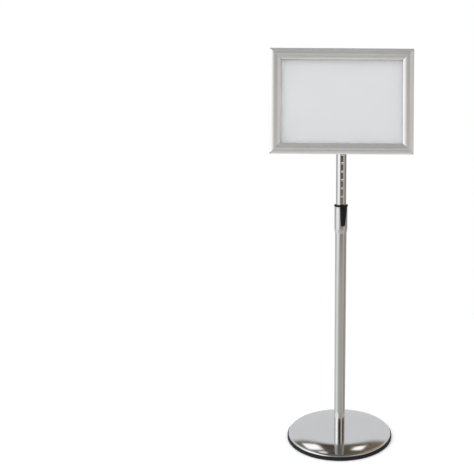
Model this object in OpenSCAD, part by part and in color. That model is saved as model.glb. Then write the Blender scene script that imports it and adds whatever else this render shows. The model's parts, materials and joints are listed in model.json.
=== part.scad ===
// Floor sign stand: round weighted base, telescopic mast with a notch lock,
// and an A4 snap frame on a head that tilts and turns. Millimetres, +Z up,
// origin on the floor under the mast, the sign faces -Y.

/* [Base] */
// Radius of the base over its rubber rim
base_r = 132; // [122:1:145]
// Height of the rubber rim
rim_h = 9; // [8:0.5:10]
// Height of the cover's flat top above the floor
cover_top = 19; // [19:0.5:22]
// Radius of the cover's flat top
cover_flat_r = 66; // [60:1:72]

/* [Mast] */
// Outer radius of the lower tube
lower_r = 14; // [14:0.1:14.4]
// Height of the lower tube's upper end
lower_top = 576; // [576:1:582]
// Outer radius of the upper tube
upper_r = 12.5; // [12:0.1:12.5]
// Height of the upper tube's upper end, at rest
upper_top = 808; // [800:1:830]
// Height of the upper tube's lower end, at rest
upper_bottom = 250; // [245:1:300]
// Travel of the upper tube each way from rest
travel = 200; // [100:20:200]
// Distance between two notches
notch_pitch = 20; // [15:1:25]
// Depth of a notch
notch_depth = 0.9; // [0.5:0.1:1.1]

/* [Lock] */
// Angle of the lever round the mast, from the front towards +X
lock_turn = 15; // [0:1:45]
// Height of the lever's hinge pin
lever_pin_z = 566; // [565:0.5:567]
// Height of the pawl
pawl_z = 555; // [555:1:555]

/* [Head] */
// Height of the tilt hinge, at rest
pivot_z = 830; // [829:1:850]
// Tilt of the frame back from upright, at rest
rest_tilt = 11.5; // [0:0.5:20]
// Distance from the tilt hinge to the back of the frame
frame_back = 33; // [33:1:40]

/* [Frame] */
// Width of the frame over its rails
frame_w = 327; // [300:1:450]
// Height of the frame over its rails
frame_h = 240; // [220:1:350]
// Width of a rail, seen from the front
rail_w = 25; // [25:0.5:26]
// Depth of the frame from its back to its front
frame_t = 14; // [14:0.1:14.5]
// Width of the sheet that it holds
sheet_w = 297; // [270:1:420]
// Height of the sheet that it holds
sheet_h = 210; // [190:1:320]

/* [Hidden] */
$fn = 96;

eps = 0.01;
big = 100;
fit = 0.05;

// Base
cover_r = base_r - 2.5;
cover_t = 1.2;
rim_in = base_r - 10.5;
rim_round = 2.2;
slot_depth = 2.6;
edge_round = 5;
shoulder_end = 10;
shoulder_r = edge_round + (cover_r - edge_round - cover_flat_r) / sin(shoulder_end);
edge_z = cover_top - shoulder_r + (shoulder_r - edge_round) * cos(shoulder_end);
weight_r = rim_in - 0.5;
weight_edge_z = 11;
weight_top = cover_top - 2;
pad_bottom = 0.8;
weight_bottom = 2.5;
well_r = 13;
well_top = 9.5;
bolt_r = 4.9;
bolt_head_r = 9;
bolt_head_z = 2.8;
washer_t = 1.5;
bolt_top = 36;
plug_top = 34;

// Mast
lower_wall = 1.2;
upper_wall = 1.5;
lower_in = lower_r - lower_wall;
upper_in = upper_r - upper_wall;
collar_r = 16;
collar_bottom = 527;
collar_top = 591;
collar_taper = 10;
bush_top = 596;
bush_flange_r = 16.7;
notch_r = 4;
notch_axis = upper_r - notch_depth + notch_r;
notches = 2 * travel / notch_pitch + 1;
glide_bottom = upper_bottom - 10;
glide_spigot = 12;

// Lock lever, drawn facing -Y and then turned round the mast
pin_out = 19;
pin_r = 1.25;
pin_half = 6.1;
lever_top = 595.8;
lever_bottom = 545;
lever_w_top = 17.5;
lever_w_bottom = 10;
lever_wall = 1.4;
ear_t = 1.2;
ear_x = 2.4;
lever_back = 10;
lever_open_r = 20.8;
lever_open_z0 = 549;
lever_open_z1 = 585;
pawl_w = 6;
pawl_h = 3.6;
pawl_tip = upper_r + 0.2;
pawl_back = 21;
pawl_slot_w = 7.2;
pawl_slot_h = 8.4;
spring_z = 580;
spring_steps = 16;
spring_sides = 8;
spring_start = collar_r + 0.4;
spring_end = 21.6;
spring_wire = 0.3;
spring_coil_r = 2;
spring_turns = 4;
spring_rings = spring_turns * spring_steps;

// Head, drawn upright with the hinge at the origin
lobe_r = 16;
tongue_r = 14.5;
tongue_x = 5.5;
neck_w = 15.7;
flange_top = pivot_z - 17;
cheek_in = 6.35;
cheek_out = 11.3;
head_end = frame_back - 6;
head_half = 10.3;
web_start = 19;
recess_r = 11.5;
recess_t = 1;
hinge_r = 3;
hub_r = 25;
hub_pcd_r = 19.5;
fixing_r = 1.5;
fixing_head_r = 2.8;
mount_w = 90;
mount_h = 70;
mount_t = 1.5;
flange_t = 1.2;
hub_back = head_end + 0.9;
mount_back = frame_back + flange_t - mount_t;

// Rail section: s runs in from the frame's outer edge, t from its back
hinge_s = 2.2;
hinge_t = 8.5;
bead_r = 1.2;
hook_in = 1.3;
hook_out = 2.2;
wall_s = 0.2;
wall_t = 5.8;
wall_in = 2.6;
arch_r = 23.5;
arch_s = 12.5;
skin_t = 1.3;
lip_t = 3.6;
lip_split_t = 8;
lip_w = 1.8;
foot_w = 3;
corner = 3.2;
hook_end = 7;
panel_in = 10;
panel_t = 1.5;
sheet_t = 0.2;
cover_sheet_t = 0.5;
panel_w = frame_w - 2 * panel_in;
panel_h = frame_h - 2 * panel_in;
panel_front = flange_t + panel_t;
cover_sheet_back = panel_front + 0.05 + sheet_t + 0.05;
key_arm = 38;
spring_len = 30;
spring_at = 0.27;

module at_head() {
    translate([0, 0, pivot_z]) rotate([-rest_tilt, 0, 0]) children();
}

// Upright plate in the head's frame, from one distance in front of the hinge to another
module slab(from, to) {
    translate([0, -from, 0]) rotate([90, 0, 0]) linear_extrude(to - from) children();
}

module at_lock() {
    rotate([0, 0, lock_turn]) children();
}

// Extrudes an outline of (distance outwards, height) sideways about x = 0
module side_plate(width) {
    translate([width / 2, 0, 0]) rotate([0, 0, -90]) rotate([90, 0, 0])
        linear_extrude(width) children();
}

module ring(r_out, r_in, z0, z1) {
    translate([0, 0, z0]) difference() {
        cylinder(r = r_out, h = z1 - z0);
        translate([0, 0, -1]) cylinder(r = r_in, h = z1 - z0 + 2);
    }
}

// ---- Base ----

// Half section of the cover's outside, or of its inside when inset by the wall
module cover_outline(inset) {
    turn = edge_round - inset;
    join = [cover_r - edge_round + turn * sin(shoulder_end), edge_z + turn * cos(shoulder_end)];
    translate([0, rim_h - slot_depth]) square([cover_flat_r, cover_top - inset - rim_h + slot_depth]);
    intersection() {
        translate([cover_flat_r, cover_top - shoulder_r]) circle(r = shoulder_r - inset, $fn = 720);
        polygon([
            [cover_flat_r - 1, join[1]], [cover_flat_r - 1, cover_top], [join[0], cover_top], join
        ]);
    }
    translate([cover_r - edge_round, edge_z]) intersection() {
        circle(r = turn, $fn = 96);
        square(turn);
    }
    polygon([
        [0, rim_h - slot_depth], [cover_r - inset, rim_h - slot_depth], [cover_r - inset, edge_z],
        [cover_r - edge_round, edge_z], join, [0, join[1]]
    ]);
}

module rubber_rim() color([0.08, 0.08, 0.08]) rotate_extrude($fn = 180) difference() {
    union() {
        translate([rim_in, 0]) square([base_r - rim_in, rim_h - rim_round]);
        translate([cover_r, 0]) square([base_r - rim_round - cover_r, rim_h]);
        translate([base_r - rim_round, rim_h - rim_round]) circle(r = rim_round, $fn = 48);
    }
    translate([cover_r - cover_t - 0.1, rim_h - slot_depth - 0.1])
        square([cover_t + 0.2, slot_depth + 0.1]);
}

module base_cover() color([0.8, 0.8, 0.82]) rotate_extrude($fn = 180) difference() {
    cover_outline(0);
    cover_outline(cover_t);
    square([lower_r + 0.1, cover_top + 1]);
}

module base_weight() color([0.3, 0.3, 0.3]) rotate_extrude() difference() {
    polygon([
        [0, weight_bottom], [weight_r, weight_bottom], [weight_r, weight_edge_z],
        [cover_flat_r, weight_top], [0, weight_top]
    ]);
    translate([0, -1]) square([bolt_r + 0.1, cover_top + 1]);
    translate([0, -1]) square([well_r, well_top + 1]);
}

module underside_pad() color([0.15, 0.15, 0.15])
    ring(weight_r - 1, well_r, pad_bottom, weight_bottom);

module base_bolt() color([0.6, 0.6, 0.62]) union() {
    translate([0, 0, bolt_head_z])
        cylinder(r = bolt_head_r, h = well_top - washer_t - bolt_head_z, $fn = 6);
    translate([0, 0, bolt_head_z]) cylinder(r = bolt_r, h = bolt_top - bolt_head_z);
}

module base_washer() color([0.6, 0.6, 0.62]) ring(well_r - 1, bolt_r + 0.1, well_top - washer_t, well_top);

module foot_plug() color([0.5, 0.5, 0.52]) ring(lower_in - fit, bolt_r + 0.1, weight_top, plug_top);

// ---- Mast ----

module pawl_slot() {
    at_lock() translate([-pawl_slot_w / 2, -collar_r - 1, pawl_z - pawl_slot_h / 2])
        cube([pawl_slot_w, collar_r, pawl_slot_h]);
}

module lower_tube() color([0.72, 0.72, 0.72]) difference() {
    ring(lower_r, lower_in, weight_top, lower_top);
    pawl_slot();
}

module collar() color([0.75, 0.75, 0.75]) difference() {
    rotate_extrude() polygon([
        [lower_r + fit, collar_bottom], [lower_r + 0.4, collar_bottom],
        [collar_r, collar_bottom + collar_taper], [collar_r, collar_top - 0.5],
        [collar_r - 0.5, collar_top], [lower_r + fit, collar_top]
    ]);
    pawl_slot();
}

module guide_bush() color([0.08, 0.08, 0.09]) rotate_extrude() difference() {
    flange_half = (bush_top - collar_top) / 2;
    union() {
        translate([0, lower_top]) square([lower_r, bush_top - lower_top]);
        translate([0, collar_top]) square([bush_flange_r - flange_half, bush_top - collar_top]);
        translate([bush_flange_r - flange_half, collar_top + flange_half])
            circle(r = flange_half, $fn = 32);
    }
    translate([0, lower_top - 1]) square([upper_r + fit, bush_top - lower_top + 2]);
}

module upper_tube() color([0.7, 0.7, 0.72]) difference() {
    ring(upper_r, upper_in, upper_bottom, upper_top);
    for (i = [0 : notches - 1])
        at_lock() translate([0, -notch_axis, pawl_z - travel + i * notch_pitch])
            rotate([0, 90, 0]) cylinder(r = notch_r, h = 2 * upper_r, center = true);
}

module tube_glide() color([0.85, 0.85, 0.82]) union() {
    translate([0, 0, glide_bottom]) cylinder(r = lower_in - fit, h = upper_bottom - glide_bottom);
    translate([0, 0, upper_bottom - 1]) cylinder(r = upper_in - fit, h = glide_spigot + 1);
}

// ---- Lock ----

// Trapezoid of the lever seen from the front, inset by its wall
module lever_front(inset) {
    polygon([
        [-lever_w_bottom / 2 + inset, lever_bottom - 1], [lever_w_bottom / 2 - inset, lever_bottom - 1],
        [lever_w_top / 2 - inset, lever_top + 1], [-lever_w_top / 2 + inset, lever_top + 1]
    ]);
}

// The lever's side outline, rounds joined by straight edges, thinner by its wall on request
module lever_side(inset) {
    hull() {
        translate([22.4, lever_top - 9.8]) circle(r = 3.5 - inset, $fn = 32);
        translate([22.9, lever_top - 2.2]) circle(r = 2.2 - inset, $fn = 32);
        translate([19.6, lever_bottom + 4.1]) circle(r = 2.6 - inset, $fn = 32);
        translate([18.3, lever_bottom + 1.9]) circle(r = 1.8 - inset, $fn = 32);
        translate([18.6, lever_pin_z]) circle(r = 1.9 - inset, $fn = 32);
    }
}

module lock_lever() color([0.1, 0.1, 0.11]) at_lock() difference() {
    intersection() {
        side_plate(lever_w_top + 2) lever_side(0);
        slab(0, big) lever_front(0);
    }
    intersection() {
        side_plate(lever_w_top + 2) union() {
            lever_side(lever_wall);
            translate([lever_back, lever_open_z0])
                square([lever_open_r - lever_back, lever_open_z1 - lever_open_z0]);
        }
        slab(0, big) lever_front(lever_wall);
    }
    translate([-big / 2, -pin_out, lever_pin_z]) rotate([0, 90, 0]) cylinder(r = pin_r + 0.07, h = big);
}

module lock_pawl() color([0.55, 0.55, 0.57]) at_lock() union() {
    translate([-pawl_w / 2, -pawl_back, pawl_z - pawl_h / 2])
        cube([pawl_w, pawl_back - pawl_tip - pawl_h / 2, pawl_h]);
    translate([0, -pawl_tip - pawl_h / 2, pawl_z]) rotate([0, 90, 0])
        cylinder(r = pawl_h / 2, h = pawl_w, center = true);
}

module lever_bracket() color([0.5, 0.5, 0.52]) at_lock() difference() {
    for (side = [-1, 1]) translate([side * (ear_x + ear_t / 2), 0, 0]) side_plate(ear_t) union() {
        translate([pin_out, lever_pin_z]) circle(r = 2.5);
        translate([15, lever_pin_z - 2.5]) square([pin_out - 15, 5]);
    }
    translate([0, 0, lever_pin_z - 10]) cylinder(r = collar_r + 0.02, h = 20);
    translate([-big / 2, -pin_out, lever_pin_z]) rotate([0, 90, 0]) cylinder(r = pin_r + 0.02, h = big);
}

module lever_pin() color([0.65, 0.65, 0.67]) at_lock()
    translate([-pin_half, -pin_out, lever_pin_z]) rotate([0, 90, 0]) cylinder(r = pin_r, h = 2 * pin_half);

// Coil spring as a wire swept along a helix that points outwards
spring_points = [
    for (i = [0 : spring_rings]) for (k = [0 : spring_sides - 1])
        let (
            a = i * 360 / spring_steps,
            b = k * 360 / spring_sides,
            r = spring_coil_r + spring_wire * cos(b),
            along = spring_start + (spring_end - spring_start) * i / spring_rings
        )
        [r * cos(a), -along - spring_wire * sin(b), spring_z + r * sin(a)]
];
spring_faces = concat(
    [[for (k = [spring_sides - 1 : -1 : 0]) k]],
    [for (i = [0 : spring_rings - 1]) for (k = [0 : spring_sides - 1])
        let (
            p = i * spring_sides + k,
            q = i * spring_sides + (k + 1) % spring_sides
        )
        [p, q, q + spring_sides, p + spring_sides]],
    [[for (k = [0 : spring_sides - 1]) spring_rings * spring_sides + k]]
);

module lever_spring() color([0.6, 0.6, 0.6]) at_lock()
    polyhedron(points = spring_points, faces = spring_faces);

// ---- Head ----

module top_plug() color([0.07, 0.07, 0.08]) union() {
    translate([0, 0, upper_top - 30]) cylinder(r = upper_in - fit, h = 31);
    translate([0, 0, upper_top]) cylinder(r = upper_r, h = flange_top - upper_top);
    difference() {
        translate([-tongue_x, 0, 0]) rotate([90, 0, 90]) linear_extrude(2 * tongue_x) union() {
            translate([0, pivot_z]) circle(r = tongue_r);
            translate([-neck_w / 2, flange_top - 1]) square([neck_w, pivot_z - flange_top]);
        }
        translate([-big / 2, 0, pivot_z]) rotate([0, 90, 0]) cylinder(r = hinge_r + 0.08, h = big);
    }
}

// Side outline of the tilt bracket, y forwards from the hinge
module bracket_side() {
    difference() {
        union() {
            circle(r = lobe_r);
            polygon([[0, lobe_r], [head_end, head_half], [head_end, -head_half], [0, -lobe_r]]);
        }
        translate([head_end - 7, -head_half - 16.4]) circle(r = 15);
    }
}

module bracket_plate(x0, x1) {
    translate([x0, 0, 0]) rotate([90, 0, 90]) linear_extrude(x1 - x0) mirror([1, 0])
        children();
}

module tilt_bracket() color([0.1, 0.1, 0.11]) at_head() difference() {
    union() {
        bracket_plate(cheek_in, cheek_out) bracket_side();
        bracket_plate(-cheek_out, -cheek_in) bracket_side();
        bracket_plate(-cheek_out, cheek_out) intersection() {
            bracket_side();
            translate([web_start, -lobe_r]) square([head_end - web_start, 2 * lobe_r]);
        }
    }
    rotate([0, 90, 0]) cylinder(r = hinge_r + 0.02, h = big, center = true);
    for (side = [-1, 1]) translate([side * (cheek_out - recess_t + 5), 0, 0]) rotate([0, 90, 0])
        cylinder(r = recess_r, h = 10, center = true);
    rotate([90, 0, 0]) cylinder(r = hinge_r + 0.08, h = big);
}

module tilt_washers() color([0.85, 0.84, 0.8]) at_head() for (side = [0, 1]) mirror([side, 0, 0])
    translate([tongue_x + 0.05, 0, 0]) rotate([0, 90, 0]) difference() {
        cylinder(r = 12, h = cheek_in - tongue_x - 0.05);
        translate([0, 0, -1]) cylinder(r = hinge_r + 0.1, h = 5);
    }

module hinge_bolt() color([0.75, 0.75, 0.77]) at_head() rotate([0, 90, 0]) difference() {
    union() {
        translate([0, 0, -cheek_out - 3]) cylinder(r = hinge_r, h = 2 * cheek_out + 3);
        translate([0, 0, cheek_out - recess_t]) cylinder(r1 = 5.5, r2 = 4, h = 3.2);
    }
    translate([0, 0, cheek_out]) cylinder(r = 2.2, h = 5, $fn = 6);
}

module hinge_nut() color([0.75, 0.75, 0.77]) at_head() rotate([0, -90, 0]) difference() {
    union() {
        translate([0, 0, cheek_out - recess_t]) cylinder(r = 5.7, h = 4, $fn = 6);
        translate([0, 0, cheek_out - recess_t + 3]) intersection() {
            sphere(r = 4.7);
            cylinder(r = 4.7, h = 4.7);
        }
    }
    translate([0, 0, cheek_out - recess_t - 1]) cylinder(r = hinge_r + 0.02, h = 5.2);
}

module hub_washer() color([0.85, 0.84, 0.8]) at_head()
    slab(head_end + fit, hub_back - fit) difference() {
        circle(r = head_half);
        circle(r = hinge_r + 0.1);
    }

module hub_screw() color([0.55, 0.55, 0.57]) at_head() difference() {
    union() {
        slab(web_start - 2.5, web_start - 0.6) circle(r = 5);
        slab(web_start - 2, mount_back - 0.2) circle(r = hinge_r);
    }
    slab(web_start - 3, web_start - 1.5) circle(r = 1.8, $fn = 6);
}

module hub_spring_washer() color([0.6, 0.6, 0.6]) at_head()
    slab(web_start - 0.55, web_start - 0.05) difference() {
        circle(r = 4.8);
        circle(r = hinge_r + 0.1);
    }

module at_fixings() {
    for (a = [45 : 90 : 315]) rotate([0, a, 0]) translate([hub_pcd_r, 0, 0]) children();
}

module hub_plate() color([0.12, 0.12, 0.13]) at_head() difference() {
    slab(hub_back, mount_back) circle(r = hub_r);
    slab(hub_back - 1, mount_back + 1) circle(r = hinge_r + 0.02);
    at_fixings() slab(hub_back - 1, mount_back + 1) circle(r = fixing_r + 0.05);
}

module hub_fixings() color([0.6, 0.6, 0.6]) at_head() at_fixings() union() {
    slab(hub_back - 1.9, hub_back) circle(r = fixing_head_r);
    slab(hub_back - 1, mount_back + mount_t + panel_t - 0.3) circle(r = fixing_r);
}

module mount_plate() color([0.15, 0.15, 0.16]) at_head() difference() {
    slab(mount_back, mount_back + mount_t)
        translate([-mount_w / 2, -mount_h / 2]) square([mount_w, mount_h]);
    at_fixings() slab(mount_back - 1, mount_back + mount_t + 1) circle(r = fixing_r + 0.05);
}

// ---- Frame ----

module sheet_slab(t0, t1, w, h) {
    slab(frame_back + t0, frame_back + t1) translate([-w / 2, -h / 2]) square([w, h]);
}

module back_panel() color([0.8, 0.8, 0.8]) at_head() difference() {
    sheet_slab(flange_t, panel_front, panel_w, panel_h);
    at_fixings() slab(frame_back, frame_back + panel_front - 0.2) circle(r = fixing_r + 0.05);
}

module poster_sheet() color([0.86, 0.86, 0.87]) at_head()
    sheet_slab(panel_front + 0.05, panel_front + 0.05 + sheet_t, sheet_w, sheet_h);

module clear_cover() color([0.9, 0.92, 0.94, 0.3]) at_head()
    sheet_slab(cover_sheet_back, cover_sheet_back + cover_sheet_t, sheet_w, sheet_h);

// Puts a rail drawn along x, with its outer edge down, on one side: 0 bottom, 1 right, 2 top, 3 left
module on_side(side) {
    at_head() rotate([0, -90 * side, 0])
        translate([0, -frame_back, -(side % 2 == 0 ? frame_h : frame_w) / 2]) children();
}

function side_len(side) = side % 2 == 0 ? frame_w : frame_h;

// Extrudes a section (s, t) along x, s to +z and t to -y
module along(len) {
    translate([-len / 2, 0, 0]) rotate([90, 0, 0]) rotate([90, 0, 90]) linear_extrude(len) children();
}

// Plan of a mitred rail, stopped square at the corner post
module mitre(len, gap) {
    half = len / 2;
    translate([0, 1, 0]) rotate([90, 0, 0]) linear_extrude(frame_t + 2) polygon([
        [-half + corner + gap, -1], [half - corner - gap, -1], [half - corner - gap, corner],
        [half - rail_w - 1 - gap, rail_w + 1], [-half + rail_w + 1 + gap, rail_w + 1],
        [-half + corner + gap, corner]
    ]);
}

module fixed_rail(side) {
    len = side_len(side);
    on_side(side) union() {
        intersection() {
            along(len) union() {
                translate([wall_s, 0]) square([rail_w - wall_s, flange_t]);
                translate([wall_s, 0]) square([wall_in - wall_s, wall_t]);
                translate([8.5, 0]) square([1, 5.2]);
            }
            mitre(len, 0.1);
        }
        along(len - 2 * hook_end) union() {
            translate([hinge_s - 0.4, wall_t - 1]) square([0.8, hinge_t - wall_t + 1]);
            translate([hinge_s, hinge_t]) circle(r = bead_r);
        }
    }
}

// Arched skin of a snap rail with its inner edge down to the split height
module skin_section() {
    difference() {
        intersection() {
            translate([arch_s, frame_t - arch_r]) circle(r = arch_r, $fn = 360);
            translate([wall_s, lip_split_t]) square([rail_w - wall_s, frame_t]);
        }
        intersection() {
            translate([arch_s, frame_t - arch_r]) circle(r = arch_r - skin_t, $fn = 360);
            translate([wall_s - 1, 0]) square([rail_w - lip_w - wall_s + 1, frame_t]);
        }
        hook_gap();
    }
}

// Space round the bead that the fixed rail's neck needs as the rail opens
module hook_gap() {
    reach = 6;
    translate([hinge_s, hinge_t]) polygon([
        [0, 0], [reach * cos(150), reach * sin(150)], [-reach, 0], [-reach, -reach],
        [0, -reach], [reach * cos(-65), reach * sin(-65)]
    ]);
    translate([hinge_s, hinge_t]) circle(r = hook_in);
}

module snap_rail(side) {
    len = side_len(side);
    on_side(side) union() {
        intersection() {
            along(len) union() {
                skin_section();
                translate([13.4, 10.6]) square([1.2, 2.6]);
            }
            mitre(len, 0.2);
        }
        intersection() {
            along(len) union() {
                translate([rail_w - lip_w, lip_t]) square([lip_w, lip_split_t - lip_t + eps]);
                translate([rail_w - foot_w, lip_t]) square([foot_w, skin_t]);
            }
            mitre(len, 1.2);
        }
        along(len - 2 * hook_end) difference() {
            translate([hinge_s, hinge_t]) circle(r = hook_out);
            hook_gap();
        }
    }
}

module rail_bottom() color([0.74, 0.75, 0.76]) fixed_rail(0);
module rail_right() color([0.74, 0.75, 0.76]) fixed_rail(1);
module rail_top() color([0.74, 0.75, 0.76]) fixed_rail(2);
module rail_left() color([0.74, 0.75, 0.76]) fixed_rail(3);
module snap_bottom() color([0.8, 0.81, 0.82]) snap_rail(0);
module snap_right() color([0.8, 0.81, 0.82]) snap_rail(1);
module snap_top() color([0.8, 0.81, 0.82]) snap_rail(2);
module snap_left() color([0.8, 0.81, 0.82]) snap_rail(3);

// One key: a post in the corner's outer cell and an angle in the two channels
module corner_key() {
    post = corner - 0.1;
    union() {
        slab(frame_back, frame_back + hinge_t + 2) difference() {
            translate([wall_s, wall_s]) square([post - wall_s, post - wall_s]);
            difference() {
                translate([wall_s - 1, wall_s - 1]) square([2.5, 2.5]);
                translate([wall_s + 1.5, wall_s + 1.5]) circle(r = 1.5);
            }
        }
        slab(frame_back + flange_t + 0.1, frame_back + 4.5) union() {
            translate([2.8, 2.8]) square([1.5, 1.5]);
            translate([corner + 0.2, corner + 0.2]) square([key_arm, 4.8]);
            translate([corner + 0.2, corner + 0.2]) square([4.8, key_arm]);
        }
    }
}

module corner_keys() color([0.7, 0.7, 0.71]) at_head() for (sx = [0, 1]) for (sz = [0, 1])
    mirror([sx, 0, 0]) mirror([0, 0, sz]) translate([-frame_w / 2, 0, -frame_h / 2]) corner_key();

module spring_clip() {
    along(spring_len) union() {
        translate([6.8, 5.3]) square([3.6, 0.6]);
        translate([9.8, 3]) square([0.6, 6.2]);
        translate([9.8, 8.6]) square([5.7, 0.6]);
    }
}

module snap_springs() color([0.6, 0.6, 0.62]) for (side = [0 : 3]) for (end = [-1, 1])
    on_side(side) translate([end * side_len(side) * spring_at, 0, 0]) spring_clip();

rubber_rim();
base_cover();
base_weight();
underside_pad();
base_bolt();
base_washer();
foot_plug();
lower_tube();
collar();
guide_bush();
lever_bracket();
lever_pin();
lever_spring();
lock_lever();
lock_pawl();
upper_tube();
tube_glide();
top_plug();
tilt_bracket();
tilt_washers();
hinge_bolt();
hinge_nut();
hub_washer();
hub_screw();
hub_spring_washer();
hub_plate();
hub_fixings();
mount_plate();
back_panel();
rail_bottom();
rail_right();
rail_top();
rail_left();
corner_keys();
snap_springs();
poster_sheet();
clear_cover();
snap_bottom();
snap_right();
snap_top();
snap_left();
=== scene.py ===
"""Visual model of a floor sign stand, built round its CAD frame. Metres, +Z up, the sign faces -Y."""
import json
import math

import bmesh
import bpy
from mathutils import Matrix, Vector


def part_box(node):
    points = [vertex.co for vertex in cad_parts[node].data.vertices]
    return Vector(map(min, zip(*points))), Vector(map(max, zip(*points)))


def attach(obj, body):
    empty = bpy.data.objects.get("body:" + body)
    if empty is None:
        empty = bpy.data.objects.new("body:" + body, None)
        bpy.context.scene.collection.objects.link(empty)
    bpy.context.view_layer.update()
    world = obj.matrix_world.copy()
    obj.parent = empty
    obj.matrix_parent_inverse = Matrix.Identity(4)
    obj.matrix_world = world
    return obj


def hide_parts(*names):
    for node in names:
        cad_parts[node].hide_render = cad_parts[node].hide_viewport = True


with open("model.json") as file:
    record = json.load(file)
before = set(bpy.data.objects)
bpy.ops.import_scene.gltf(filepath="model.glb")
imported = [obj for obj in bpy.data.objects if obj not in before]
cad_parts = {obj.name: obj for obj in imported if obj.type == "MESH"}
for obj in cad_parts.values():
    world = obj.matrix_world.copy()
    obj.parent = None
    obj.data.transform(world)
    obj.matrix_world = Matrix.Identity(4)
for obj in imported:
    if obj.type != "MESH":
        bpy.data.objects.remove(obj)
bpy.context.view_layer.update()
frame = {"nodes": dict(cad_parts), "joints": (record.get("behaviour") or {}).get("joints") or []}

MM = 0.001
JOINT = {j["name"]: j for j in frame["joints"]}
PIVOT = Vector(JOINT["tilt"]["pos_m"])
NORMAL = Vector(JOINT["turn"]["axis"])
LOCK_OUT = Vector(JOINT["press_lever"]["pos_m"]).xy.normalized()

# Head frame: hinge at the origin, sign upright and facing -Y
HEAD = Matrix.Translation(PIVOT) @ Matrix.Rotation(-math.asin(NORMAL.z), 4, "X")
# Lock frame: lever facing -Y
LOCK = Matrix.Rotation(math.atan2(LOCK_OUT.x, -LOCK_OUT.y), 4, "Z")


# ---------------------------------------------------------------- mesh helpers

def add_mesh(name, bm, body, slot, *nodes, sharp=35, matrix=None, finish=None):
    """Makes a piece from a bmesh, smooth-shaded up to an angle, and hands it to the frame."""
    bmesh.ops.remove_doubles(bm, verts=bm.verts, dist=1e-7)
    bmesh.ops.recalc_face_normals(bm, faces=bm.faces)
    if matrix is not None:
        bm.transform(matrix)
    mesh = bpy.data.meshes.new(name)
    bm.to_mesh(mesh)
    bm.free()
    mesh.shade_smooth()
    mesh.set_sharp_from_angle(angle=math.radians(sharp))
    piece = bpy.data.objects.new(name, mesh)
    bpy.context.scene.collection.objects.link(piece)
    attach(piece, body)
    if nodes:
        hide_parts(*nodes)
    mesh.materials.append(MATERIALS[finish or slot])
    piece.modifiers.new("flat faces stay flat", "WEIGHTED_NORMAL").keep_sharp = True
    return piece


def fillet(points, steps=6):
    """Closed outline of (x, y, radius) corners with each corner rounded."""
    out = []
    count = len(points)
    for i, (x, y, r) in enumerate(points):
        here = Vector((x, y))
        before = Vector(points[i - 1][:2]) - here
        after = Vector(points[(i + 1) % count][:2]) - here
        turn = before.angle(after) if r > 0 else 0
        if r <= 0 or turn > math.pi - 0.01:
            out.append(here)
            continue
        reach = r / math.tan(turn / 2)
        start = here + before.normalized() * reach
        end = here + after.normalized() * reach
        centre = here + (before.normalized() + after.normalized()).normalized() * (r / math.sin(turn / 2))
        a, b = start - centre, end - centre
        sweep = math.atan2(a.x * b.y - a.y * b.x, a.dot(b))
        for k in range(steps + 1):
            out.append(centre + Matrix.Rotation(sweep * k / steps, 2) @ a)
    return out


def arc(cx, cy, r, a0, a1, steps):
    """Points along a circle, angles in degrees."""
    angles = [math.radians(a0 + (a1 - a0) * k / steps) for k in range(steps + 1)]
    return [Vector((cx + r * math.cos(a), cy + r * math.sin(a))) for a in angles]


def lathe(outline, segments=160):
    """Turns a closed (r, z) outline round Z."""
    bm = bmesh.new()
    rings = []
    for k in range(segments):
        a = 2 * math.pi * k / segments
        rings.append([bm.verts.new((p.x * math.cos(a), p.x * math.sin(a), p.y)) for p in outline])
    for k in range(segments):
        one, two = rings[k], rings[(k + 1) % segments]
        for i in range(len(outline)):
            j = (i + 1) % len(outline)
            if outline[i].x < 1e-9 and outline[j].x < 1e-9:
                continue
            bm.faces.new((one[i], two[i], two[j], one[j]))
    return bm


def plate(outlines, back, front, edge, steps=3):
    """Flat plate in the XZ plane, from y = -back to y = -front, with holes and rounded edges."""
    curve = bpy.data.curves.new("plate", "CURVE")
    curve.dimensions = "2D"
    curve.fill_mode = "BOTH"
    curve.extrude = (front - back) / 2 - edge
    curve.bevel_depth = edge
    curve.bevel_resolution = steps
    curve.offset = -edge
    for outline in outlines:
        spline = curve.splines.new("POLY")
        spline.points.add(len(outline) - 1)
        for point, p in zip(spline.points, outline):
            point.co = (p.x, p.y, 0, 1)
        spline.use_cyclic_u = True
    holder = bpy.data.objects.new("plate", curve)
    bpy.context.scene.collection.objects.link(holder)
    mesh = bpy.data.meshes.new_from_object(holder.evaluated_get(bpy.context.evaluated_depsgraph_get()))
    bm = bmesh.new()
    bm.from_mesh(mesh)
    bpy.data.objects.remove(holder)
    bpy.data.curves.remove(curve)
    bpy.data.meshes.remove(mesh)
    bmesh.ops.remove_doubles(bm, verts=bm.verts, dist=1e-7)
    bm.transform(Matrix.Translation((0, -(back + front) / 2, 0)) @ Matrix.Rotation(math.pi / 2, 4, "X"))
    return bm


def circle(r, steps=64, cx=0.0, cy=0.0):
    return arc(cx, cy, r, 0, 360 - 360 / steps, steps - 1)


def rounded_rect(w, h, r):
    return fillet([(-w / 2, -h / 2, r), (w / 2, -h / 2, r), (w / 2, h / 2, r), (-w / 2, h / 2, r)])


def merge(target, other, matrix=None):
    """Adds one bmesh to another."""
    if matrix is not None:
        other.transform(matrix)
    mesh = bpy.data.meshes.new("merge")
    other.to_mesh(mesh)
    other.free()
    target.from_mesh(mesh)
    bpy.data.meshes.remove(mesh)


# ---------------------------------------------------------------- materials

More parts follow.
